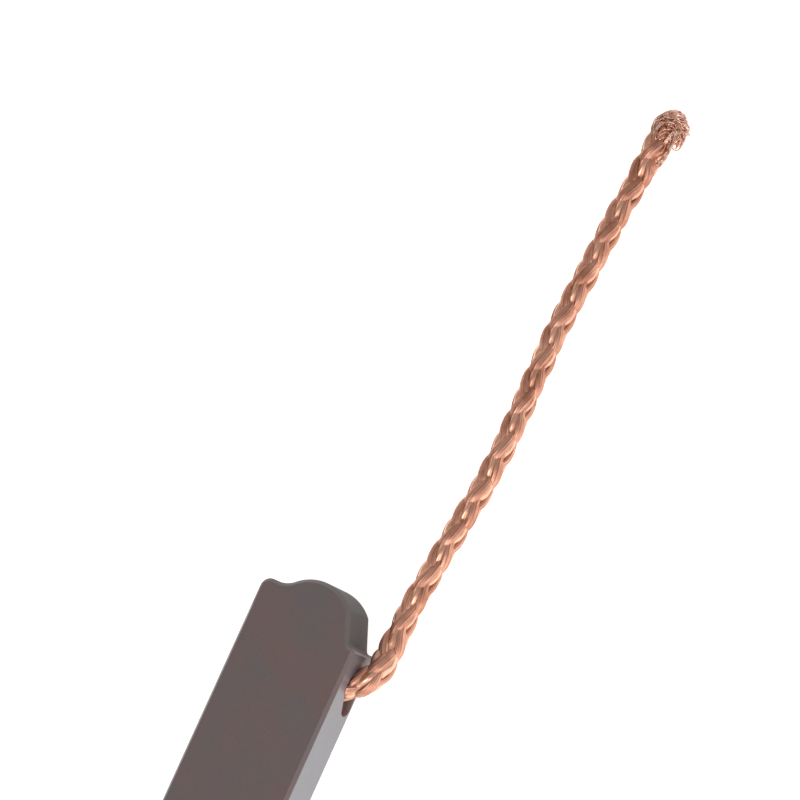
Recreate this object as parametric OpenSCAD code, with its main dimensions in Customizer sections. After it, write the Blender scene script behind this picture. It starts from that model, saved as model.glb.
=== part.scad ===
// Carbon brush: a pressed graphite block with an arched head between two
// shoulders, and a bare braided copper lead tamped into a slanted hole in its
// narrow side. The brush lies on one broad face. X runs across the width, +X to
// the side that the lead leaves. Y runs along the length, +Y to the head, and Z
// is the thickness. The origin is under the middle of the block.

/* [Block] */
// Width of the block, across the broad face
block_w = 12.5; // [11.5:0.1:16]
// Thickness of the block, between the broad faces
block_t = 5; // [4.5:0.1:8]
// Length from the wear face to the top of the head
block_l = 36; // [26:0.5:50]
// Width of the edge break, all round
edge_c = 0.35; // [0.2:0.05:0.5]

/* [Head] */
// Radius of the arch that the spring bears on
arch_r = 5; // [4.6:0.1:5.2]
// Distance of the arch's middle from the block's middle
arch_shift = 0.35; // [0:0.05:0.5]
// Drop from the top of the arch to the wide shoulder
wide_drop = 1.75; // [1.4:0.05:2.2]
// Drop from the top of the arch to the narrow shoulder
narrow_drop = 4.7; // [4.2:0.1:5.2]
// Slant of the arch's flank above the narrow shoulder, from the length
flank_slant = 24; // [20:1:28]
// How far the flank's foot stands in from the narrow side
flank_foot = 0.9; // [0.8:0.05:1.1]
// Radius of the wide shoulder's outer corner
corner_r = 1.1; // [0.8:0.05:1.4]
// Radius of the hollow between the wide shoulder and the arch
blend_r = 2.7; // [1.5:0.1:3]
// Radius of the hollow at the flank's foot
foot_r = 0.5; // [0.35:0.05:0.6]

/* [Lead hole] */
// Diameter of the drilled hole
hole_d = 2.6; // [2.4:0.05:2.8]
// Depth of the hole along its own axis
hole_depth = 8; // [6:0.5:10]
// Slant of the hole towards the head, from square to the side
hole_slant = 32; // [20:1:36]
// Distance of the hole's mouth from the top of the head
mouth_drop = 8.1; // [7.6:0.1:12]
// Height of the hole's axis over the lower broad face
hole_h = 2; // [1.8:0.05:2.4]
// Width of the relief at the mouth, on the side of the wear face
relief_w = 1.7; // [1.2:0.1:1.8]
// How far the relief runs from the mouth's middle
relief_run = 2.2; // [2:0.1:3]
// How much lower the relief's end lies than the hole's axis
relief_fall = 0.65; // [0.4:0.05:0.7]
// Depth of the relief below the side
relief_depth = 1.2; // [0.8:0.1:1.6]

/* [Tamping] */
// How far the tamped powder stays below the mouth, along the hole
tamp_recess = 2.4; // [2:0.1:3]
// Powder between the lead's buried end and the bottom of the hole
tamp_bed = 0.6; // [0.3:0.1:1]

/* [Lead] */
// Diameter of the braided lead
lead_d = 2.25; // [1.8:0.05:2.3]
// Width of the lead's bare end, where its wires spread
spread_d = 3; // [2.6:0.1:3.4]

/* [Hidden] */

carbon = "#5f5855";
powder = "#6d5145";
copper = "#c07f66";

$fn = 96;
over = 1;                                  // how far a cutting tool runs past a face

top_y = block_l / 2;
wear_y = -block_l / 2;
side_x = block_w / 2;
wide_y = top_y - wide_drop;
narrow_y = top_y - narrow_drop;
arch_c = [arch_shift, top_y - arch_r];
flank_x = side_x - flank_foot;             // the flank's foot, on the narrow shoulder

// Centre of the hollow between the wide shoulder and the arch. It bites a little into
// both, so that they meet along a clear line.
bite = 0.01;
blend_y = wide_y + blend_r - bite;
blend_gap = arch_r + blend_r - bite;
blend_c = [arch_c.x - sqrt(pow(blend_gap, 2) - pow(blend_y - arch_c.y, 2)), blend_y];

// Hollow at the flank's foot: its centre and where it meets the flank
foot_c = [flank_x + foot_r * (1 / cos(flank_slant) - tan(flank_slant)), narrow_y + foot_r];
foot_b = foot_c - foot_r * [cos(flank_slant), sin(flank_slant)];

// Hole: the middle of its mouth, and its axis pointing out of the block
mouth = [side_x, top_y - mouth_drop, hole_h];
hole_out = [cos(hole_slant), sin(hole_slant), 0];

// Lead: it lies on the surface that the block lies on
lead_sides = 8;
rest_gap = 0.02;
rest_h = lead_d / 2 + rest_gap;
corner_k = 1 / cos(180 / lead_sides);          // so that the tube's flats keep its width
bury = [hole_depth - tamp_bed, 6, 4, 2, 0];    // depths below the mouth, along the hole
// Route of the free lead from the mouth. Across, along, and the share of the
// mouth's height over the resting height that is left.
route = [
    [0.75, 0.6, 0.95], [1.3, 1.3, 0.8], [1.7, 2.1, 0.6], [1.9, 3, 0.45],
    [1.95, 4.2, 0.3], [1.8, 6.2, 0.1], [1.65, 8.5, 0], [1.85, 11.5, 0],
    [2.2, 14.5, 0], [2.65, 18, 0], [3.15, 21.5, 0], [3.5, 25, 0],
    [3.65, 29, 0], [3.65, 33, 0], [3.65, 37, 0], [3.7, 40.5, 0],
    [3.95, 44, 0], [4.25, 48, 0], [4.5, 52, 0], [4.95, 56, 0],
    [5.4, 59, 0], [5.75, 61, 0], [5.9, 62.6, 0], [5.9, 63.8, 0]
];
spread_from = 20;                          // the route's point where the wires begin to part

// Rectangle with its corners cut off by the edge break
module broken_rect(w, h) {
    x = w / 2;
    y = h / 2;
    polygon([
        [x, edge_c - y], [x, y - edge_c], [x - edge_c, y], [edge_c - x, y],
        [-x, y - edge_c], [-x, edge_c - y], [edge_c - x, -y], [x - edge_c, -y]
    ]);
}

// Bar along Y from y0 to y1 between x0 and x1, with its long edges broken
module bar_y(x0, x1, y0, y1) {
    translate([(x0 + x1) / 2, y1, block_t / 2]) rotate([90, 0, 0])
        linear_extrude(y1 - y0) broken_rect(x1 - x0, block_t);
}

// Bar along X, the same way
module bar_x(x0, x1, y0, y1) {
    translate([x0, (y0 + y1) / 2, block_t / 2]) rotate([90, 0, 90])
        linear_extrude(x1 - x0) broken_rect(y1 - y0, block_t);
}

// Block of the full thickness with every edge broken
module broken_block(x0, x1, y0, y1) {
    intersection() {
        bar_y(x0, x1, y0 - over, y1 + over);
        bar_x(x0 - over, x1 + over, y0, y1);
        translate([(x0 + x1) / 2, (y0 + y1) / 2, -over])
            linear_extrude(block_t + 2 * over) broken_rect(x1 - x0, y1 - y0);
    }
}

// Round post of the full thickness with both rims broken
module post(c, r) {
    translate([c.x, c.y, 0]) rotate_extrude() polygon([
        [0, 0], [r - edge_c, 0], [r, edge_c], [r, block_t - edge_c], [r - edge_c, block_t],
        [0, block_t]
    ]);
}

// Tool for a hollow: a post whose ends flare out along the broken rims
module hollow_tool(c, r) {
    flare = r + edge_c + over;
    translate([c.x, c.y, 0]) rotate_extrude() polygon([
        [0, -over], [flare, -over], [r, edge_c], [r, block_t - edge_c], [flare, block_t + over],
        [0, block_t + over]
    ]);
}

// Material left in a corner by a hollow of radius r, over the outline's points
module hollow_fill(points, c, r) {
    difference() {
        linear_extrude(block_t) polygon(points);
        hollow_tool(c, r);
    }
}

// Tool that rounds an upper left corner to radius r about c
module corner_tool(c, r) {
    difference() {
        translate([c.x - r - over, c.y, -over]) cube([r + over, r + over, block_t + 2 * over]);
        post(c, r);
    }
}

module arch() {
    reach = 2 * (arch_r + over);
    intersection() {
        post(arch_c, arch_r);
        translate([flank_x, narrow_y, 0]) rotate([0, 0, flank_slant])
            bar_y(-reach, 0, -reach, reach);
    }
}

module lead_hole() {
    rotate([0, 0, hole_slant]) rotate([0, 90, 0])
        translate([0, 0, -hole_depth]) cylinder(d = hole_d, h = hole_depth + 2 * hole_d);
}

// Relief at the mouth, towards the wear face: it narrows and falls a little
module relief() {
    end = [-relief_run, -relief_fall];
    gap = norm(end);
    lean = asin((hole_d - relief_w) / 2 / gap);
    turn = atan2(end.y, end.x);
    rotate([90, 0, 90]) translate([0, 0, -relief_depth]) linear_extrude(relief_depth + over) {
        translate(end) circle(d = relief_w);
        rotate(turn) polygon([
            hole_d / 2 * [sin(lean), cos(lean)],
            [gap, 0] + relief_w / 2 * [sin(lean), cos(lean)],
            [gap, 0] + relief_w / 2 * [sin(lean), -cos(lean)],
            hole_d / 2 * [sin(lean), -cos(lean)]
        ]);
    }
}

// ---- lead tube: rings of lead_sides points along the route ----
rise = hole_h - rest_h;
buried = [for (b = bury) mouth - b * hole_out];
spread_n = len(route) - 1 - spread_from;
free = [for (i = [0:len(route) - 1])
    let (p = route[i], open = max(0, i - spread_from) / spread_n)
    [mouth.x + p.x, mouth.y + p.y, rest_h + rise * p.z + open * (spread_d - lead_d) / 2]];
spine = concat(buried, free);
widths = concat([for (b = bury) lead_d],
    [for (i = [0:len(route) - 1])
        lead_d + max(0, i - spread_from) / spread_n * (spread_d - lead_d)]);
last = len(spine) - 1;

function unit(v) = v / norm(v);
function heading(i) = unit(spine[min(i + 1, last)] - spine[max(i - 1, 0)]);
function across(h) = unit(cross(h, [0, 0, 1]));
function ring(i) =
    let (h = heading(i), a = across(h), b = cross(a, h))
    [for (k = [0:lead_sides - 1])
        let (t = (k + 0.5) * 360 / lead_sides)
        spine[i] + corner_k * widths[i] / 2 * (cos(t) * a + sin(t) * b)];

module lead_tube() {
    n = lead_sides;
    points = [for (i = [0:last]) each ring(i)];
    sides = [for (i = [0:last - 1], k = [0:n - 1])
        each [[i * n + k, i * n + (k + 1) % n, (i + 1) * n + (k + 1) % n],
              [i * n + k, (i + 1) * n + (k + 1) % n, (i + 1) * n + k]]];
    ends = [[for (k = [0:n - 1]) n - 1 - k], [for (k = [0:n - 1]) last * n + k]];
    polyhedron(points, concat(sides, ends));
}

module carbon_block() {
    color(carbon) difference() {
        union() {
            broken_block(-side_x, side_x, wear_y, narrow_y);
            difference() {
                broken_block(-side_x, arch_c.x, wear_y, wide_y);
                corner_tool([corner_r - side_x, wide_y - corner_r], corner_r);
            }
            arch();
            hollow_fill([blend_c, arch_c, [blend_c.x, arch_c.y]], blend_c, blend_r);
            hollow_fill([foot_c, foot_b, arch_c, [foot_c.x, narrow_y - 2 * edge_c]], foot_c, foot_r);
        }
        translate(mouth) lead_hole();
        translate(mouth) relief();
    }
}

module tamped_powder() {
    color(powder) difference() {
        translate(mouth) rotate([0, 0, hole_slant]) rotate([0, 90, 0])
            translate([0, 0, -hole_depth]) cylinder(d = hole_d, h = hole_depth - tamp_recess);
        lead_tube();
    }
}

module braided_lead() {
    color(copper) lead_tube();
}

carbon_block();
tamped_powder();
braided_lead();
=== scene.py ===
"""Dresses a carbon brush: a pressed graphite block with a braided copper lead tamped into its side.

The brush lies on a pale floor with its length along Y. The block keeps its solid and gets a graphite finish.
The lead is braided here from six flat bundles of fine wires, and its open end parts into single wires.
Sizes in the panels are in metres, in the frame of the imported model.
"""

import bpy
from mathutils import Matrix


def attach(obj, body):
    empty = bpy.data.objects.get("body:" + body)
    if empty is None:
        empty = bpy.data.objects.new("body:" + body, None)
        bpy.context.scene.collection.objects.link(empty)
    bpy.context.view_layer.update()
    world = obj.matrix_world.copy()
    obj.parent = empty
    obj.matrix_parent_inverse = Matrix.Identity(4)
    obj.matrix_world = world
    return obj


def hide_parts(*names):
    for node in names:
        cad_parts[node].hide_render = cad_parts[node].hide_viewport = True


bl_info = {
    "name": "Carbon brush",
    "version": (1, 0, 0),
    "blender": (4, 5, 0),
    "location": "View3D > Sidebar > Carbon Brush",
    "description": "Makes the braided lead, its parted end, the finishes and the stage of a carbon brush",
    "category": "Object",
}

import bisect
import math
import random

import bmesh
import bpy
from bpy.props import FloatProperty, FloatVectorProperty, IntProperty, PointerProperty
from mathutils import Euler, Vector, noise

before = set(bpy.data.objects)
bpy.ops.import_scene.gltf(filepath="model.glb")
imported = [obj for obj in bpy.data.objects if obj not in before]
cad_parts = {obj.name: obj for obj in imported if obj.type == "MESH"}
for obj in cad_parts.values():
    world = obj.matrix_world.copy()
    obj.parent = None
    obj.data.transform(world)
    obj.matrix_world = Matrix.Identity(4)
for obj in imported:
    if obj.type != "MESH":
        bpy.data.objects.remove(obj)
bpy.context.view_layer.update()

MM = 0.001


# ---------------------------------------------------------------- the lead's route

MOUTH = Vector((6.25, 9.9, 2.0)) * MM  # middle of the lead hole's mouth, on the narrow side
HOLE_SLANT = math.radians(32)  # how far the hole leans towards the head
HOLE_OUT = Vector((math.cos(HOLE_SLANT), math.sin(HOLE_SLANT), 0))
LEAD_BURIED = (4, 2, 0)  # mm back into the hole, along its axis
LEAD_REST = 1.145  # mm from the floor to the middle of the lead where it lies
LOWEST = 0.03 * MM  # no wire comes closer to the floor

# From the mouth, in mm: across and along. The third number is the share of the mouth's height over the
# resting height that is left.
LEAD_ROUTE = (
    (0.75, 0.6, 0.95), (1.3, 1.3, 0.8), (1.7, 2.1, 0.6), (1.9, 3, 0.45), (1.95, 4.2, 0.3), (1.8, 6.2, 0.1),
    (1.65, 8.5, 0), (1.85, 11.5, 0), (2.2, 14.5, 0), (2.65, 18, 0), (3.15, 21.5, 0), (3.5, 25, 0),
    (3.65, 29, 0), (3.65, 33, 0), (3.65, 37, 0), (3.7, 40.5, 0), (3.95, 44, 0), (4.25, 48, 0),
    (4.5, 52, 0), (4.95, 56, 0), (5.4, 59, 0), (5.75, 61, 0), (5.9, 62.6, 0), (5.9, 63.8, 0),
)
PARTING = 20  # the route's point where the wires begin to part
PARTING_RISE = 0.375  # mm that the middle rises from there to the end, as the lead grows wider


def lead_points():
    """The points that the middle of the lead passes through, in metres."""
    rise = MOUTH.z / MM - LEAD_REST
    points = [MOUTH - HOLE_OUT * back * MM for back in LEAD_BURIED]
    for i, (across, along, left) in enumerate(LEAD_ROUTE):
        opened = max(0, i - PARTING) / (len(LEAD_ROUTE) - 1 - PARTING)
        height = LEAD_REST + rise * left + opened * PARTING_RISE
        points.append(Vector((MOUTH.x + across * MM, MOUTH.y + along * MM, height * MM)))
    return points


class Route:
    """One smooth line through points, asked for its place and its directions at a distance along it."""

    steps = 16  # from one point to the next
    feel = 0.25 * MM  # distance to both sides over which a direction is taken

    def __init__(self, points, toward):
        ends = [2 * points[0] - points[1]] + points + [2 * points[-1] - points[-2]]
        self.line = []
        for a, b, c, d in zip(ends, ends[1:], ends[2:], ends[3:]):
            for k in range(self.steps):
                t = k / self.steps
                square, cube = 2 * a - 5 * b + 4 * c - d, 3 * b - a - 3 * c + d
                self.line.append(0.5 * (2 * b + (c - a) * t + square * t**2 + cube * t**3))
        self.line.append(points[-1].copy())
        self.run = [0.0]
        for p, q in zip(self.line, self.line[1:]):
            self.run.append(self.run[-1] + (q - p).length)
        self.length = self.run[-1]
        self.toward = toward

    def place(self, s):
        """The point at distance s. Past an end it goes straight on."""
        line, run = self.line, self.run
        if s <= 0:
            return line[0] + (line[1] - line[0]).normalized() * s
        if s >= self.length:
            return line[-1] + (line[-1] - line[-2]).normalized() * (s - self.length)
        lo, hi = 0, len(run) - 1
        while hi - lo > 1:
            mid = (lo + hi) // 2
            lo, hi = (mid, hi) if run[mid] <= s else (lo, mid)
        return line[lo].lerp(line[hi], (s - run[lo]) / (run[hi] - run[lo]))

    def axes(self, s):
        """Along the line, towards the side the lead is seen from, and to the right of both."""
        along = (self.place(s + self.feel) - self.place(s - self.feel)).normalized()
        front = (self.toward - along * self.toward.dot(along)).normalized()
        return along, front, along.cross(front)


CAMERA_PLACE = (0.136771, 0.013912, 0.268530)
CAMERA_TURN = Euler([math.radians(angle) for angle in (16.01667, 23.07989, 26.59412)])

route = Route(lead_points(), toward=CAMERA_TURN.to_matrix() @ Vector((0, 0, 1)))


# ---------------------------------------------------------------- sizes and colours

def srgb(hex_colour):
    """A linear colour from an sRGB hex value."""
    made = []
    for i in (1, 3, 5):
        c = int(hex_colour[i:i + 2], 16) / 255
        made.append(c / 12.92 if c <= 0.04045 else ((c + 0.055) / 1.055) ** 2.4)
    return tuple(made)


def colour(name, about, hex_colour):
    """A colour that a user can change."""
    return FloatVectorProperty(
        name=name, description=about, default=srgb(hex_colour), subtype="COLOR", size=3, min=0, max=1
    )


def size(name, about, millimetres):
    """A length that a user can change."""
    return FloatProperty(
        name=name, description=about, default=millimetres * MM, min=0.0, unit="LENGTH", precision=5
    )


def amount(name, about, value):
    """A brightness or power that a user can change."""
    return FloatProperty(name=name, description=about, default=value, min=0)


class LeadSettings(bpy.types.PropertyGroup):
    """The braid and its copper"""
    each_way: IntProperty(
        name="Bundles each way", description="Bundles that wind one way; as many wind the other way",
        default=3, min=2,
    )
    pitch: size("Lay length", "Length in which a bundle goes once round the lead", 13.95)
    slack: FloatProperty(
        name="Slack near the block", description="The lay there, as a multiple of the lay farther on",
        default=1.035, min=0.1,
    )
    crossing: size("Crossing", "Distance along the lead to one place where two bundles cross", 36.6)
    roll: FloatProperty(
        name="Roll", description="Turn of the braid about its own line",
        default=math.radians(-14), subtype="ANGLE",
    )
    ring: size("Braid radius", "Mean distance of a bundle's middle from the lead's middle", 0.75)
    swing: size("Over and under", "How far a bundle moves out or in where it passes another", 0.165)
    bundle_wide: size("Bundle half width", "Half the width of one flat bundle", 0.66)
    bundle_thick: size("Bundle half thickness", "Half the thickness of one flat bundle", 0.32)
    heart: size("Heart", "Radius of the straight wires in the middle of the braid", 0.84)
    bulge: size("Bulge", "How far the heart's wires swell out between the bundles", 0.3)
    wires: IntProperty(
        name="Wires round a bundle", description="Wires that show round one bundle", default=18, min=8
    )
    groove: size("Groove", "Depth of the groove between two wires", 0.05)
    twist: size("Twist", "Length in which the wires go once round their own bundle", 20)
    bundle_end: size("Bundles stop", "How far before the open end only single wires go on", 2.5)
    heart_past: size("Heart past the bundles", "How much farther than the bundles the heart goes on", 0.9)
    copper: colour("Copper", "Bare copper wire where light falls on it", "#E6AA90")
    copper_deep: colour("Copper, deep", "Copper with a thin brown oxide film", "#C0826A")
    # The heart's lighter copper is partly untarnished wire and partly painted highlight, brightening the gaps
    # where the heart shows.
    copper_fresh_and_highlight: colour("Copper, fresh", "The wires in the middle, which the others cover", "#FFC6A8")
    copper_bright: colour("Copper, bright", "Parted wires, where they have rubbed bright", "#FFDAC6")


class EndSettings(bpy.types.PropertyGroup):
    """The open end, where the wires part"""
    wire: size("Wire", "Diameter of one parted wire", 0.13)
    per_bundle: IntProperty(
        name="Wires per bundle", description="Parted wires of each bundle", default=28, min=4
    )
    start: size("Wires part", "How far before the open end the first wires leave their bundle", 3.9)
    kink: size("Kink", "How far a parted wire waves about its line", 0.15)


class BlockSettings(bpy.types.PropertyGroup):
    """Finishes of the block and its powder, with painted sheen, shade and light"""
    graphite: colour("Graphite", "Pressed graphite, plain", "#64504E")
    graphite_warm: colour("Graphite, warm", "Patches with more of the binder's brown", "#694D48")
    graphite_cool: colour("Graphite, cool", "Patches polished by handling", "#555354")
    # This lighter colour is partly painted sheen, for the bright reflection of the two sliding sides.
    ground_sheen: colour("Graphite, ground", "The two sides that slide in the holder, ground smooth", "#726E74")
    # This darker colour is painted shade on the head's rim; the rim's real rough finish is set by its
    # roughness.
    dull: colour("Graphite, as pressed", "The rim of the head, left as the die made it", "#403A39")
    # This lighter colour is painted light on the walls of the shaded lead hole.
    hole_light: colour("Dust", "Tamping powder on the walls of the lead hole", "#988480")
    powder: colour("Tamping powder", "Copper and graphite powder", "#6D5145")
    powder_bright: colour("Tamping powder, bright", "Copper grains in the powder", "#B57A5E")


class StageSettings(bpy.types.PropertyGroup):
    """Floor and light"""
    floor: colour("Floor", "Pale floor", "#F7F7F6")
    glow: amount("Floor glow", "Light that the lit table sends up", 0.85)
    sky_low: amount("Low surround", "Brightness near the horizon", 1.05)
    sky_high: amount("High surround", "Brightness overhead", 0.42)
    reach: size("Floor reach", "Half the floor's width", 2500)
    lamp: amount("Lamps", "Power of the high lamp in watts; the low one has a share of it", 2.3)
    lamp_wide: size("Lamp width", "Width of a soft lamp, a metre away", 380)


# ---------------------------------------------------------------- helpers

def node(tree, kind, wires=None, **settings):
    """Adds a shader node. wires gives each input a value, or (node, output) to link from."""
    made = tree.nodes.new("ShaderNode" + kind)
    for name, value in settings.items():
        setattr(made, name, value)
    for socket, value in (wires or {}).items():
        if isinstance(value, tuple) and isinstance(value[0], bpy.types.Node):
            tree.links.new(value[0].outputs[value[1]], made.inputs[socket])
        else:
            made.inputs[socket].default_value = value
    return made


def new_material(name):
    """A material with an empty node tree."""
    made = bpy.data.materials.new(name)
    made.use_nodes = True
    made.node_tree.nodes.clear()
    return made, made.node_tree


def show(bm, name, material, smooth=True):
    """Turns a bmesh into an object at the origin, with its faces outward."""
    bmesh.ops.recalc_face_normals(bm, faces=bm.faces)
    mesh = bpy.data.meshes.new(name)
    for face in bm.faces:
        face.smooth = smooth
    bm.to_mesh(mesh)
    bm.free()
    made = bpy.data.objects.new(name, mesh)
    bpy.context.scene.collection.objects.link(made)
    made.data.materials.append(material)
    return made


SEAM = 1e-9  # the seam of a tube is welded where its two sides lie that close


def wrap(bm, rings):
    """Adds a closed tube through rings of points: a grid is laid over them, its seam welded, its ends filled.

    Its UV runs round the tube in U, and along it in V.
    """
    sides, steps = len(rings[0]), len(rings) - 1
    part = bmesh.new()
    part.loops.layers.uv.new("lay")
    bmesh.ops.create_grid(part, x_segments=sides, y_segments=steps, size=1, calc_uvs=True)
    part.verts.ensure_lookup_table()
    for k, ring in enumerate(rings):
        for i in range(sides + 1):
            part.verts[k * (sides + 1) + i].co = ring[i % sides]
    bmesh.ops.remove_doubles(part, verts=part.verts, dist=SEAM)
    bmesh.ops.holes_fill(part, edges=[e for e in part.edges if e.is_boundary], sides=0)
    bmesh.ops.recalc_face_normals(part, faces=part.faces)
    held = bpy.data.meshes.new("held")
    part.to_mesh(held)
    part.free()
    bm.from_mesh(held)
    bpy.data.meshes.remove(held)


def passed(s, start, over):
    """How far s has passed start, as a share of over that stays between 0 and 1."""
    return min(1, max(0, (s - start) / over))


def hump(s, middle, wide):
    """A smooth hump along the lead, 1 in its middle."""
    return math.exp(-((s - middle) / wide) ** 2)


def wobble(s, seed):
    """A smooth random number from about -1 to 1 along the lead."""
    return noise.noise(Vector((s / WOBBLE_LONG, seed * SEED_STEP, 0.5)))


# ---------------------------------------------------------------- the lead

# Distances are along the lead, from its start deep in the hole. A hump has a middle, a length and a size.
OPENS_BEFORE, OPENS_OVER = 9 * MM, 6 * MM  # the braid opens from so far before its end, over that length
CORNER, CORNER_LONG, CORNER_ASIDE = 8.5 * MM, 2.2 * MM, 0.2 * MM  # against the shoulder's corner, to the left
FREE_FROM, FREE_OVER, FREE_ASIDE = 11 * MM, 5 * MM, 0.14 * MM  # past the corner, to the right, from there on
OPEN_ASIDE = 0.26 * MM  # at the open end, to the left again
BEND, BEND_LONG, BEND_WIDER = 7.5 * MM, 3 * MM, 0.22  # the braid bulges in the bend beside the block
OPEN_WIDER = 0.34  # and at the open end

DWELL = 1.5  # how flat a bundle's way is where it is over or under the others
UNEVEN_OUT = 0.03 * MM  # how far a bundle strays out and in
UNEVEN_ROUND, UNEVEN_TWIST = 0.07, 0.05  # round the lead, in radians, and about its own line, in rounds
UNEVEN_SIZE = 0.07  # and in its width and thickness, as a share
OVER_WIDER = 0.08  # a bundle is that much wider where it lies over another
TAPER_LONG, TAPER_WIDTH, TAPER_THICKNESS = 1.2 * MM, 0.3, 0.6  # bundles thin out by these shares as they stop
WOBBLE_LONG = 4 * MM  # length over which an unevenness changes
SEED_STEP = 7.31  # keeps the seeds of two unevennesses apart
SEED_OUT, SEED_WIDE, SEED_THICK, SEED_TWIST, SEED_ROUND = 3, 11, 17, 23, 41

SIDES_PER_WIRE = 3  # points round a bundle for each wire, the first of them down in the groove
BUNDLE_STEP = 0.4 * MM  # from ring to ring of a bundle
OVAL_STEPS = 240
TIGHTEST = 0.5 * MM  # a bundle's oval isn't bent round less than this radius
HEART_SIDES, HEART_RINGS = 36, 260
HEART_TWIST = 12 * MM  # the heart's wires turn by a radian in this length
HEART_GROOVE = 0.7  # depth of the heart's grooves, as a share of a bundle's
HEART_LATE = 0.6 * MM  # the heart swells most so far past the middle of a gap
HEART_NARROWS = 0.35  # share of its radius that it loses at its end
HEART_NARROWS_BEFORE = 2.6 * MM  # from so far before the lead's end, over a millimetre


def opening(s):
    """How far the braid has opened towards its end, from 0 to 1."""
    return passed(s, route.length - OPENS_BEFORE, OPENS_OVER) ** 1.5


def aside(s):
    """How far the lead lies to the left of its line."""
    free = passed(s, FREE_FROM, FREE_OVER)
    return CORNER_ASIDE * hump(s, CORNER, CORNER_LONG) - FREE_ASIDE * free + OPEN_ASIDE * opening(s)


def looseness(s):
    """How much wider than usual the braid is."""
    return 1 + BEND_WIDER * hump(s, BEND, BEND_LONG) + OPEN_WIDER * opening(s)


def rounds(s, lead):
    """How many times a bundle has gone round the lead at distance s, counted from the known crossing."""
    past = s - lead.crossing
    return past / (lead.pitch * (lead.slack if past < 0 else 1))


def sense(k, lead):
    """The way that bundle k winds, 1 or -1."""
    return 1 if k < lead.each_way else -1


def bundle_way(s, k, lead):
    """Where bundle k runs at distance s: its angle round the lead, its distance out, and how far it is over,
    from -1 to 1."""
    turn = sense(k, lead)
    theta = lead.roll + math.tau * (turn * rounds(s, lead) + k / lead.each_way)
    over = turn * math.tanh(DWELL * math.cos(lead.each_way * (theta - lead.roll))) / math.tanh(DWELL)
    radius = (lead.ring + lead.swing * over) * looseness(s) + UNEVEN_OUT * wobble(s, k + SEED_OUT)
    return theta + UNEVEN_ROUND * wobble(s, k + SEED_ROUND), radius, over


def oval(wide, thick):
    """How far round an oval's edge each angle lies, as a share of the whole."""
    run = [0.0]
    for i in range(OVAL_STEPS):
        a, b = math.tau * i / OVAL_STEPS, math.tau * (i + 1) / OVAL_STEPS
        across, up = wide * (math.cos(b) - math.cos(a)), thick * (math.sin(b) - math.sin(a))
        run.append(run[-1] + math.hypot(across, up))
    return [r / run[-1] for r in run]


def oval_angle(run, share):
    """The angle at which that share of an oval's edge has passed."""
    share %= 1
    i = bisect.bisect_right(run, share) - 1
    return math.tau * (i + (share - run[i]) / (run[i + 1] - run[i])) / (len(run) - 1)


def on_bundle(s, k, lead, run, share, deep):
    """A point of bundle k at distance s: a flat oval bent round the lead, deep under its edge."""
    theta, radius, over = bundle_way(s, k, lead)
    taper = passed(s, route.length - lead.bundle_end - TAPER_LONG, TAPER_LONG) ** 2
    wide = lead.bundle_wide * (1 + OVER_WIDER * over + UNEVEN_SIZE * wobble(s, k + SEED_WIDE))
    wide = wide * (1 - TAPER_WIDTH * taper) - deep
    thick = lead.bundle_thick * (1 + UNEVEN_SIZE * wobble(s, k + SEED_THICK))
    thick = thick * (1 - TAPER_THICKNESS * taper) - deep
    twist = sense(k, lead) * s / lead.twist + UNEVEN_TWIST * wobble(s, k + SEED_TWIST)
    a = oval_angle(run, share + twist)
    theta += wide * math.cos(a) / max(radius, TIGHTEST)
    return off_line(s, theta, radius + thick * math.sin(a))


def off_line(s, theta, radius):
    """The point at an angle and a distance from the middle of the lead, kept off the floor."""
    _, front, right = route.axes(s)
    place = route.place(s) - right * aside(s) + (front * math.cos(theta) + right * math.sin(theta)) * radius
    place.z = max(place.z, LOWEST)
    return place


def heart_ring(s, lead):
    """One ring of the straight wires in the middle, grooved like the bundles. They swell out between them,
    most just past the middle of each gap."""
    narrow = passed(s, route.length - HEART_NARROWS_BEFORE, MM)
    wave = math.cos(math.tau * lead.each_way * rounds(s - HEART_LATE, lead))
    ring = []
    for i in range(HEART_SIDES):
        a = math.tau * i / HEART_SIDES + s / HEART_TWIST
        between = -math.cos(lead.each_way * (a - lead.roll)) * wave
        groove = HEART_GROOVE * lead.groove if i % SIDES_PER_WIRE == 0 else 0
        radius = (lead.heart + lead.bulge * max(0, between) - groove) * looseness(s)
        ring.append(off_line(s, a, radius * (1 - HEART_NARROWS * narrow)))
    return ring


PALER_TO, USUAL_FROM = 10 * MM, 60 * MM  # along the block; the copper is lighter before the first, of its usual tone past the second


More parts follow.
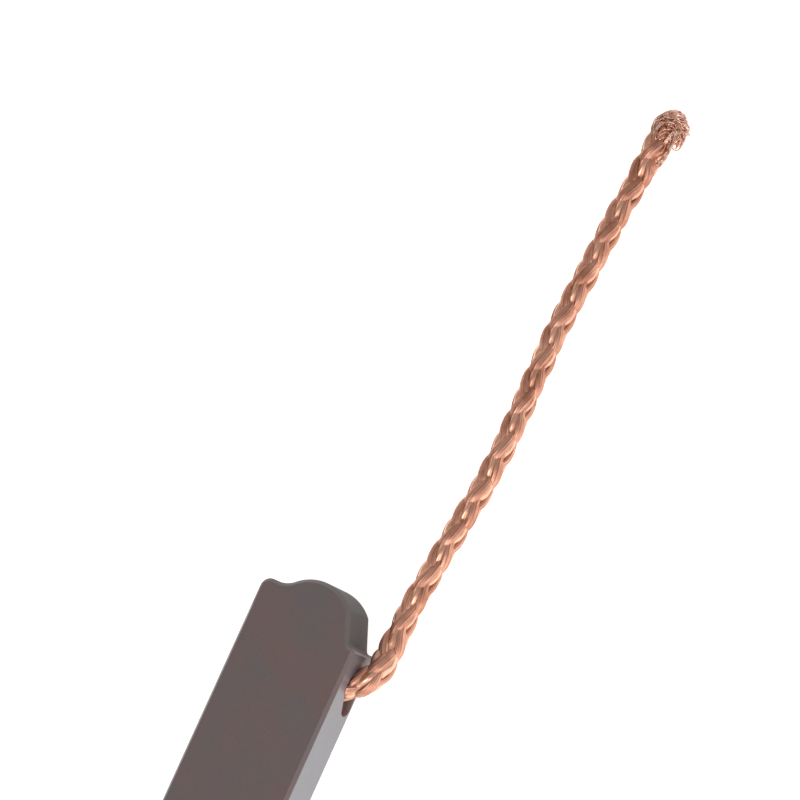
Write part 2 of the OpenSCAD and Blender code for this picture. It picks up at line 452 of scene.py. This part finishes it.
def copper_wire(name, dull, bright, rough, smooth, patch, wires=0):
    """Drawn bare copper wire, annealed and slightly oxidised: bright salmon where it catches light, with a
    satin gloss because the drawing marks scatter it. The oxide lies in patches about patch mm across, and the
    copper is lighter near the block. With wires given, dark lines part so many of them: painted shade in the
    grooves between the wires."""
    made, tree = new_material(name)
    place = node(tree, "TexCoord")
    tone = node(
        tree, "TexNoise",
        {"Vector": (place, "Object"), "Scale": 1 / (patch * MM), "Detail": 3.0, "Roughness": 0.6},
    )
    at = node(tree, "SeparateXYZ", {0: (place, "Object")})
    paler = node(
        tree, "MapRange",
        {"Value": (at, 1), "From Min": PALER_TO, "From Max": USUAL_FROM, "To Min": 0.12, "To Max": 0.0},
    )
    lighter = node(tree, "Math", {0: (tone, "Fac"), 1: (paler, 0)}, operation="ADD")
    shade = node(tree, "MapRange", {"Value": (lighter, 0), "From Min": 0.36, "From Max": 0.66})
    mixed = node(tree, "Mix", {0: (shade, 0), 6: (*dull, 1), 7: (*bright, 1)}, data_type="RGBA")
    gloss = node(tree, "MapRange", {"Value": (tone, "Fac"), "To Min": rough, "To Max": smooth})
    shader = node(
        tree, "BsdfPrincipled", {"Base Color": (mixed, 2), "Metallic": 1.0, "Roughness": (gloss, 0)}
    )
    if wires:
        round_and_along = node(tree, "UVMap", uv_map="lay")
        apart = node(tree, "SeparateXYZ", {0: (round_and_along, 0)})
        count = node(tree, "Math", {0: (apart, 0), 1: float(wires)}, operation="MULTIPLY")
        across = node(tree, "Math", {0: (count, 0), 1: 1.0}, operation="PINGPONG")
        deep = node(
            tree, "MapRange", {"Value": (across, 0), "From Min": 0.0, "From Max": 0.3, "To Min": 0.66}
        )
        # Painted shade: the base colour is darkened to 0.66 down in the grooves between the wires.
        dark = node(
            tree, "Mix", {0: 1.0, 6: (mixed, 2), 7: (deep, 0)}, data_type="RGBA", blend_type="MULTIPLY"
        )
        tree.links.new(dark.outputs[2], shader.inputs["Base Color"])
    node(tree, "OutputMaterial", {"Surface": (shader, 0)})
    return made


# ---------------------------------------------------------------- the parted end

# Places here are in mm from the lead's end: to the right, along, and to the front if there is a third number.
# The wires end inside this edge, which goes from the left side over the top and down the right side.
END_EDGE = (
    (-1.5, -2.7), (-1.35, -1.7), (-0.85, -0.6), (-0.3, 0.2), (0.3, 0.35), (1.1, 0.2),
    (1.6, -0.35), (1.95, -0.85), (2.1, -1.5), (1.95, -2.4), (1.75, -3.1), (1.4, -3.4),
)
END_MIDDLE = (0.45, -1.95)  # the wires curl round this point, clockwise
EDGE_AT, EDGE_PER_RIGHT = 0.72, 0.36 / 1.3  # how far round the edge a wire heads, and more for each mm right

LOCKS = 3  # a bundle's wires part into this many locks, and those of one lock wave together
# What the wires of a lock nearly share: lowest, highest, and by how much a wire departs from its lock.
EDGE_SPREAD = (-0.12, 0.12, 0.06)  # added to how far round the edge it heads
OUTWARD = (0.3, 1, 0.2)  # where it ends, as a share of the way from END_MIDDLE to the edge
WAVES = (1.0, 2.2, 0.1)  # how many waves it makes
PHASE = (0, 6.28, 0.4)  # where in a wave it starts, in radians

DEPTHS = (0.0, 0.04, 0.1, 0.16)  # how deep in its bundle a wire starts, one of these
START_SPREAD = 1.0  # length over which a bundle's wires leave it
HELD_STEPS, HELD_STEP, HELD_SINK = 4, 0.3, 0.12  # a wire's first points lie on its bundle, the first in it
NEAREST, CROWDING = 0.12, 0.65  # least share of the way to the edge, and how the ends crowd towards the edge
DOME, DOME_UNEVEN = 1.35, (-0.25, 0.15)  # how far the middle of the tangle stands out to the front
BACK_HALF = -0.3  # wires farther back than this end behind
CURL, CURL_OUT, CURL_FORWARD = 0.95, 0.25, 0.5  # a wire's end points clockwise, outward, and to front or back
LEAVING, ARRIVING = 0.45, 0.5  # how long a wire keeps its directions at both ends, as shares of its reach
SHORTEST = 1.7  # least reach
OWN_WAVE = 0.25  # how much a wire waves its own way, beside its lock's way
FREE_STEPS = 10
WIRE_SIDES = 5
END_SEED, LOCK_SEEDS = 5, 7  # seed of the tangle, and seeds from one bundle's locks to the next bundle's

# A bunch of wires is folded over and hangs down in front.
FOLD = (
    (0.2, -3.4, 0.9), (0.35, -2.4, 1.3), (0.65, -2.0, 1.4), (0.85, -2.7, 1.3), (0.78, -3.6, 1.2),
    (0.65, -4.6, 1.1), (0.5, -5.5, 1.05),
)
FOLD_WIRES, FOLD_SPREAD, FOLD_SHORTEST, FOLD_STEPS = 26, 0.1, 0.86, 16
STRAY_STEPS = 12
STRAYS = (  # single wires that have sprung out: a small loop, and ends that lie across the fold
    ((1.7, -2.5, 0.6), (1.8, -3.0, 0.6), (1.55, -3.45, 0.6), (1.2, -3.45, 0.7), (0.95, -3.1, 0.9)),
    ((0.7, -2.6, 1.4), (0.85, -3.4, 1.45), (0.5, -4.3, 1.4), (0.4, -5.1, 1.25), (0.1, -5.6, 1.1)),
    ((0.6, -2.9, 1.4), (0.65, -3.9, 1.4), (0.3, -4.9, 1.3), (0.35, -5.5, 1.2)),
    ((0.3, -4.4, 1.2), (0.5, -4.8, 1.35), (0.2, -5.2, 1.3), (0.0, -4.9, 1.2)),
    ((-0.2, -1.6, 1.2), (0.4, -1.5, 1.4), (1.0, -1.9, 1.4), (1.3, -1.6, 1.2)),
    ((-0.6, -1.1, 0.9), (0.1, -0.5, 1.1), (0.9, -0.9, 1.2), (1.5, -0.7, 0.9)),
    ((-0.7, -3.0, 1.1), (-0.4, -2.5, 1.35), (0.0, -2.2, 1.45), (0.5, -2.3, 1.4)),
    ((-0.5, -3.2, 1.15), (-0.1, -2.7, 1.4), (0.2, -2.6, 1.45), (0.6, -2.0, 1.4)),
    ((-0.8, -2.6, 1.0), (-0.3, -2.0, 1.3), (0.3, -1.8, 1.45), (0.8, -1.4, 1.3)),
)


def end_frame():
    """The lead's last direction, the front and the right there, and the end point."""
    along, front, right = route.axes(route.length)
    return along, front, right, route.place(route.length)


def end_point(rightward, onward, forward):
    """A point of the parted end in metres."""
    along, front, right, tip = end_frame()
    return tip + (right * rightward + along * onward + front * forward) * MM


def through(points, count):
    """A smooth line of count steps through a few points."""
    line = Route([p.copy() for p in points], Vector((0, 0, 1)))
    return [line.place(line.length * i / count) for i in range(count + 1)]


def on_edge(share):
    """A point of END_EDGE, by the share of its points that have passed. It stays short of the last point."""
    at = min(max(share, 0), 0.999) * (len(END_EDGE) - 1)
    i = int(at)
    return tuple(a + (b - a) * (at - i) for a, b in zip(END_EDGE[i], END_EDGE[i + 1]))


def held_points(chance, k, j, lead, end, run):
    """Where a wire still lies on its bundle. Two in three leave from the outer half of the bundle's edge."""
    deep = chance.choice(DEPTHS) * MM
    start = route.length - end.start + chance.uniform(0, START_SPREAD) * MM
    outer = j / end.per_bundle * 0.5 if j % 3 else chance.uniform(0.5, 1)
    share = outer - sense(k, lead) * start / lead.twist
    last = HELD_STEPS - 1
    return [
        on_bundle(start + i * HELD_STEP * MM, k, lead, run, share, deep + HELD_SINK * MM * (last - i) / last)
        for i in range(HELD_STEPS)
    ]


def parted_wire(chance, k, j, lead, end, run):
    """The line of one parted wire: on its bundle at first, then free and curling over clockwise."""
    along, front, right, tip = end_frame()
    line = held_points(chance, k, j, lead, end, run)
    leaves = line[-1] - tip
    lock = random.Random(LOCK_SEEDS * k + j % LOCKS)

    def nearly(low, high, own):
        """A random number that the wires of a lock share, apart from up to own."""
        return lock.uniform(low, high) + chance.uniform(-own, own)

    heads_for = EDGE_AT + EDGE_PER_RIGHT * leaves.dot(right) / MM
    edge = on_edge(heads_for + nearly(*EDGE_SPREAD))
    out = min(1, max(NEAREST, nearly(*OUTWARD))) ** CROWDING
    ends = [m + (e - m) * out for m, e in zip(END_MIDDLE, edge)]
    dome = DOME * math.sqrt(max(0, 1 - out * out)) * (1 if leaves.dot(front) > BACK_HALF * MM else -1)
    finish = end_point(*ends, dome + chance.uniform(*DOME_UNEVEN))
    away = Vector([e - m for e, m in zip(edge, END_MIDDLE)]).normalized()
    curl = right * (away.x * CURL_OUT + away.y * CURL) + along * (away.y * CURL_OUT - away.x * CURL)
    last = (curl + front * chance.uniform(-CURL_FORWARD, CURL_FORWARD)).normalized()
    reach = max((finish - line[-1]).length, SHORTEST * MM)
    leaving = line[-1] + (line[-1] - line[-2]).normalized() * reach * LEAVING
    bend = (line[-1], leaving, finish - last * reach * ARRIVING, finish)
    together = Vector([lock.uniform(-1, 1) for _ in range(3)])
    way = (together + OWN_WAVE * Vector([chance.uniform(-1, 1) for _ in range(3)])).normalized()
    waves = nearly(*WAVES)
    phase = nearly(*PHASE)
    for i in range(1, FREE_STEPS + 1):
        t = i / FREE_STEPS
        line.append(bezier(bend, t) + way * end.kink * t * math.sin(phase + math.tau * waves * t))
    return line


def bezier(points, t):
    """The point at share t of a cubic curve with these four control points."""
    a, b, c, d = points
    return a * (1 - t) ** 3 + b * 3 * t * (1 - t) ** 2 + c * 3 * t * t * (1 - t) + d * t**3


def thread(bm, line, radius):
    """Adds a thin round wire along a line."""
    rings, out = [], Vector((0.3, 0.2, 1))  # any direction across the line's start
    for i, p in enumerate(line):
        p.z = max(p.z, radius + LOWEST)
        heading = (line[min(i + 1, len(line) - 1)] - line[max(i - 1, 0)]).normalized()
        out = (out - heading * out.dot(heading)).normalized()
        side = heading.cross(out)
        angles = [math.tau * a / WIRE_SIDES for a in range(WIRE_SIDES)]
        rings.append([p + side * radius * math.cos(a) + out * radius * math.sin(a) for a in angles])
    wrap(bm, rings)


def end_lines(lead, end, run):
    """The lines of all the parted wires."""
    chance = random.Random(END_SEED)
    lines = [
        parted_wire(chance, k, j, lead, end, run)
        for k in range(2 * lead.each_way) for j in range(end.per_bundle)
    ]
    for _ in range(FOLD_WIRES):
        shift = Vector([chance.gauss(0, FOLD_SPREAD) for _ in range(3)])
        cut = chance.uniform(FOLD_SHORTEST, 1)
        line = through([end_point(*(Vector(p) + shift)) for p in FOLD], FOLD_STEPS)
        lines.append(line[:round(len(line) * cut)])
    lines += [through([end_point(*p) for p in stray], STRAY_STEPS) for stray in STRAYS]
    return lines


PARTED, HEART_SLOT = 1, 2  # slots of the finishes of the parted wires and the heart; the bundles have slot 0


class BRUSH_OT_lead(bpy.types.Operator):
    """Braid the copper lead from flat bundles of fine wires and part its open end into single wires"""
    bl_idname = "brush.lead"
    bl_label = "Braided lead"

    def execute(self, context):
        lead, end = context.scene.brush_lead, context.scene.brush_end
        run = oval(lead.bundle_wide, lead.bundle_thick)
        last = route.length - lead.bundle_end
        steps, sides = round(last / BUNDLE_STEP), lead.wires * SIDES_PER_WIRE
        depths = [lead.groove if j % SIDES_PER_WIRE == 0 else 0 for j in range(sides)]
        bm = bmesh.new()
        bm.loops.layers.uv.new("lay")
        for k in range(2 * lead.each_way):
            wrap(bm, [
                [on_bundle(last * i / steps, k, lead, run, j / sides, deep) for j, deep in enumerate(depths)]
                for i in range(steps + 1)
            ])
        heart_from = len(bm.faces)
        heart = last + lead.heart_past
        wrap(bm, [heart_ring(heart * i / HEART_RINGS, lead) for i in range(HEART_RINGS + 1)])
        heart_to = len(bm.faces)
        for line in end_lines(lead, end, run):
            thread(bm, line, end.wire / 2)
        bm.faces.ensure_lookup_table()
        for face in bm.faces[heart_from:heart_to]:
            face.material_index = HEART_SLOT
        for face in bm.faces[heart_to:]:
            face.material_index = PARTED
        braid = copper_wire(
            "drawn_copper_braid", lead.copper_deep, lead.copper,
            rough=0.46, smooth=0.32, patch=2.4, wires=lead.wires,
        )
        parted = copper_wire(
            "drawn_copper_wire", lead.copper_deep, lead.copper_bright, rough=0.22, smooth=0.12, patch=0.5
        )
        # The heart's finish: lighter copper, partly painted highlight for the gaps between the bundles.
        covered_and_highlight = copper_wire(
            "drawn_copper_covered_highlight", lead.copper, lead.copper_fresh_and_highlight, rough=0.38, smooth=0.28, patch=2.4
        )
        made = show(bm, "lead_braid", braid)
        made.data.materials.append(parted)
        made.data.materials.append(covered_and_highlight)
        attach(made, "root")
        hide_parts("braided_lead")
        return {"FINISHED"}


# ---------------------------------------------------------------- the block and its powder

HEAD_FROM, HEAD_SOFT = 13.0 * MM, 0.3 * MM  # along the block, just below the narrow shoulder
SIDE_FROM, SIDE_TO = MOUTH.x - 0.03 * MM, MOUTH.x - 0.02 * MM  # farther out is a side smoothed by grinding, with painted sheen
INSIDE_FROM, INSIDE_TO = MOUTH.x - 0.06 * MM, MOUTH.x - 0.01 * MM  # what lies farther in is inside the hole
HOLE_LIGHT_MIDDLE = (5.2 * MM, 8.2 * MM, 1.6 * MM)  # middle of the painted light in the hole
HOLE_LIGHT_FROM, HOLE_LIGHT_TO = 1.7 * MM, 2.1 * MM  # distances from there between which the painted light ends
WARM_PATCHES, COOL_PATCHES, GRAINS, COPPER_GRAINS = 160, 230, 6500, 9000  # in a metre


def pressed_graphite(block):
    """Pressed graphite: dark grey-brown, with a silky grey sheen at low angles because the flakes lie flat in
    the surface. The two sides that slide are smoothed by grinding and get a lighter colour, partly painted
    sheen for their bright reflection. The head's rim gets a darker colour, painted shade, and a rough finish.
    The lead hole's walls get a lighter colour, painted light against their shade. The grain is drawn at
    0.15 mm, coarser than the real one."""
    made, tree = new_material("pressed_graphite")
    place = node(tree, "TexCoord")
    patch = node(
        tree, "TexNoise",
        {"Vector": (place, "Object"), "Scale": WARM_PATCHES, "Detail": 2.0, "Roughness": 0.5},
    )
    cool = node(
        tree, "TexNoise",
        {"Vector": (place, "Object"), "Scale": COOL_PATCHES, "Detail": 1.0, "Distortion": 0.4},
    )
    grain = node(
        tree, "TexNoise", {"Vector": (place, "Object"), "Scale": GRAINS, "Detail": 4.0, "Roughness": 0.7}
    )
    warm_share = node(tree, "MapRange", {"Value": (patch, "Fac"), "From Min": 0.42, "From Max": 0.64})
    cool_share = node(
        tree, "MapRange", {"Value": (cool, "Fac"), "From Min": 0.5, "From Max": 0.74, "To Max": 0.6}
    )
    warm = node(
        tree, "Mix", {0: (warm_share, 0), 6: (*block.graphite, 1), 7: (*block.graphite_warm, 1)},
        data_type="RGBA",
    )
    both = node(
        tree, "Mix", {0: (cool_share, 0), 6: (warm, 2), 7: (*block.graphite_cool, 1)}, data_type="RGBA"
    )
    speck = node(
        tree, "MapRange",
        {"Value": (grain, "Fac"), "From Min": 0.3, "From Max": 0.7, "To Min": 0.88, "To Max": 1.12},
    )
    at = node(tree, "SeparateXYZ", {0: (place, "Object")})
    facing = node(tree, "SeparateXYZ", {0: (place, "Normal")})
    aside_by = node(tree, "Math", {0: (at, 0)}, operation="ABSOLUTE")
    upward = node(tree, "Math", {0: (facing, 2)}, operation="ABSOLUTE")
    ground_sheen = node(tree, "MapRange", {"Value": (aside_by, 0), "From Min": SIDE_FROM, "From Max": SIDE_TO})
    head = node(
        tree, "MapRange", {"Value": (at, 1), "From Min": HEAD_FROM, "From Max": HEAD_FROM + HEAD_SOFT}
    )
    rim = node(
        tree, "MapRange",
        {"Value": (upward, 0), "From Min": 0.5, "From Max": 0.85, "To Min": 1.0, "To Max": 0.0},
    )
    head_rim = node(tree, "Math", {0: (head, 0), 1: (rim, 0)}, operation="MULTIPLY")
    # Painted shade: the head's rim gets the darker colour; the high roughness set for it below is a real
    # finish.
    sided = node(tree, "Mix", {0: (head_rim, 0), 6: (both, 2), 7: (*block.dull, 1)}, data_type="RGBA")
    # Painted sheen, in part: the two sliding sides get the lighter colour; their lower roughness below is
    # real.
    slid = node(tree, "Mix", {0: (ground_sheen, 0), 6: (sided, 2), 7: (*block.ground_sheen, 1)}, data_type="RGBA")
    far = node(tree, "VectorMath", {0: (place, "Object"), 1: HOLE_LIGHT_MIDDLE}, operation="DISTANCE")
    near = node(
        tree, "MapRange",
        {"Value": (far, 1), "From Min": HOLE_LIGHT_FROM, "From Max": HOLE_LIGHT_TO, "To Min": 1.0, "To Max": 0.0},
    )
    inside = node(
        tree, "MapRange",
        {"Value": (at, 0), "From Min": INSIDE_FROM, "From Max": INSIDE_TO, "To Min": 1.0, "To Max": 0.0},
    )
    hole_light = node(tree, "Math", {0: (near, 0), 1: (inside, 0)}, operation="MULTIPLY")
    # Painted light: the walls near the hole's middle get the lighter colour against their shade.
    hole_lit = node(tree, "Mix", {0: (hole_light, 0), 6: (slid, 2), 7: (*block.hole_light, 1)}, data_type="RGBA")
    base = node(tree, "Mix", {0: 1.0, 6: (hole_lit, 2), 7: (speck, 0)}, data_type="RGBA", blend_type="MULTIPLY")
    plain_gloss = node(tree, "MapRange", {"Value": (patch, "Fac"), "To Min": 0.36, "To Max": 0.5})
    dull_gloss = node(tree, "Mix", {0: (head_rim, 0), 2: (plain_gloss, 0), 3: 0.85})
    gloss = node(tree, "Mix", {0: (ground_sheen, 0), 2: (dull_gloss, 0), 3: 0.3})
    relief = node(tree, "Bump", {"Height": (grain, "Fac"), "Strength": 0.25, "Distance": 0.04 * MM})
    shader = node(
        tree, "BsdfPrincipled",
        {"Base Color": (base, 2), "Roughness": (gloss, 0), "IOR": 2.1, "Normal": (relief, 0)},
    )
    node(tree, "OutputMaterial", {"Surface": (shader, 0)})
    return made


def tamped_copper_powder(block):
    """Copper and graphite powder tamped hard: rough and grainy, dark brown with single bright grains."""
    made, tree = new_material("tamped_copper_powder")
    place = node(tree, "TexCoord")
    grain = node(tree, "TexVoronoi", {"Vector": (place, "Object"), "Scale": COPPER_GRAINS})
    share = node(
        tree, "MapRange",
        {"Value": (grain, "Distance"), "From Min": 0.1, "From Max": 0.4, "To Min": 1.0, "To Max": 0.0},
    )
    base = node(
        tree, "Mix", {0: (share, 0), 6: (*block.powder, 1), 7: (*block.powder_bright, 1)}, data_type="RGBA"
    )
    relief = node(tree, "Bump", {"Height": (grain, "Distance"), "Strength": 0.8, "Distance": 0.08 * MM})
    shader = node(
        tree, "BsdfPrincipled",
        {"Base Color": (base, 2), "Metallic": 0.5, "Roughness": 0.7, "Normal": (relief, 0)},
    )
    node(tree, "OutputMaterial", {"Surface": (shader, 0)})
    return made


def finish_node(name, material):
    """Gives a CAD node its finish."""
    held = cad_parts[name]
    held.data.materials.clear()
    held.data.materials.append(material)
    for slot in held.material_slots:
        slot.link = "OBJECT"
        slot.material = material


class BRUSH_OT_block(bpy.types.Operator):
    """Finish the block as pressed graphite and the hole's filling as tamped powder"""
    bl_idname = "brush.block"
    bl_label = "Graphite block and powder"

    def execute(self, context):
        block = context.scene.brush_block
        finish_node("carbon_block", pressed_graphite(block))
        finish_node("tamped_powder", tamped_copper_powder(block))
        return {"FINISHED"}


# ---------------------------------------------------------------- stage

# Soft lamps beyond the wear end, each with its share of the power: one high, and one low on the lead's side.
LAMPS = (((0.165, -0.576, 0.8), 1.0), ((0.77, -0.53, 0.36), 0.4))
LENS, SENSOR = 137.346, 36  # mm
NEAREST_SEEN, FARTHEST_SEEN = 0.01, 20  # metres
FLOOR_DROP = 0.02 * MM  # the floor lies that far under the brush, so that their faces don't share a plane
SKY_FROM, SKY_TO = 0.08, 0.42  # heights on a sphere of radius 1 between which the surround darkens


class BRUSH_OT_stage(bpy.types.Operator):
    """Set the camera, a pale lit floor and a soft surround"""
    bl_idname = "brush.stage"
    bl_label = "Camera, floor and light"

    def execute(self, context):
        stage = context.scene.brush_stage
        camera = bpy.data.objects.new("camera", bpy.data.cameras.new("camera"))
        context.scene.collection.objects.link(camera)
        camera.data.type = "PERSP"
        camera.data.sensor_width, camera.data.lens = SENSOR, LENS
        camera.data.clip_start, camera.data.clip_end = NEAREST_SEEN, FARTHEST_SEEN
        camera.location, camera.rotation_euler = CAMERA_PLACE, CAMERA_TURN
        context.scene.camera = camera

        made, tree = new_material("lit_table")
        shader = node(
            tree, "BsdfPrincipled",
            {"Base Color": (*stage.floor, 1), "Roughness": 0.9, "Emission Color": (*stage.floor, 1),
             "Emission Strength": stage.glow},
        )
        node(tree, "OutputMaterial", {"Surface": (shader, 0)})
        bm = bmesh.new()
        bmesh.ops.create_grid(bm, x_segments=1, y_segments=1, size=stage.reach)
        bmesh.ops.translate(bm, verts=bm.verts, vec=(0, 0, -FLOOR_DROP))
        floor = show(bm, "floor", made, smooth=False)

        for spot, share in LAMPS:
            lamp = bpy.data.objects.new("soft_lamp", bpy.data.lights.new("soft_lamp", "AREA"))
            context.scene.collection.objects.link(lamp)
            lamp.data.energy, lamp.data.size = stage.lamp * share, stage.lamp_wide
            lamp.location = spot
            lamp.rotation_euler = Vector(spot).to_track_quat("Z", "Y").to_euler()

        world = bpy.data.worlds.new("surround")
        world.use_nodes = True
        tree = world.node_tree
        tree.nodes.clear()
        way = node(tree, "TexCoord")
        apart = node(tree, "SeparateXYZ", {0: (way, "Generated")})
        high = node(
            tree, "MapRange",
            {"Value": (apart, 2), "From Min": SKY_FROM, "From Max": SKY_TO, "To Min": stage.sky_low,
             "To Max": stage.sky_high},
            interpolation_type="SMOOTHSTEP",
        )
        back = node(tree, "Background", {"Color": (1, 1, 1, 1), "Strength": (high, 0)})
        node(tree, "OutputWorld", {"Surface": (back, 0)})
        context.scene.world = world
        context.scene.view_settings.view_transform = "Standard"
        return {"FINISHED"}


# ---------------------------------------------------------------- panel and running

class BRUSH_PT_panel(bpy.types.Panel):
    """Lists the pieces of the carbon brush"""
    bl_label = "Carbon brush"
    bl_space_type = "VIEW_3D"
    bl_region_type = "UI"
    bl_category = "Carbon Brush"

    def draw(self, context):
        for made, groups in (
            (BRUSH_OT_stage, ("brush_stage",)), (BRUSH_OT_lead, ("brush_lead", "brush_end")),
            (BRUSH_OT_block, ("brush_block",)),
        ):
            box = self.layout.box()
            for held in (getattr(context.scene, group) for group in groups):
                for name in held.__annotations__:
                    box.prop(held, name)
            box.operator(made.bl_idname)


GROUPS = {
    "brush_stage": StageSettings,
    "brush_lead": LeadSettings,
    "brush_end": EndSettings,
    "brush_block": BlockSettings,
}
CLASSES = (*GROUPS.values(), BRUSH_OT_stage, BRUSH_OT_lead, BRUSH_OT_block, BRUSH_PT_panel)


def register():
    for made in CLASSES:
        bpy.utils.register_class(made)
    for name, group in GROUPS.items():
        setattr(bpy.types.Scene, name, PointerProperty(type=group))


def unregister():
    for name in GROUPS:
        delattr(bpy.types.Scene, name)
    for made in reversed(CLASSES):
        bpy.utils.unregister_class(made)


def main():
    register()
    bpy.ops.brush.stage()
    bpy.ops.brush.lead()
    bpy.ops.brush.block()


if __name__ == "__main__":
    main()
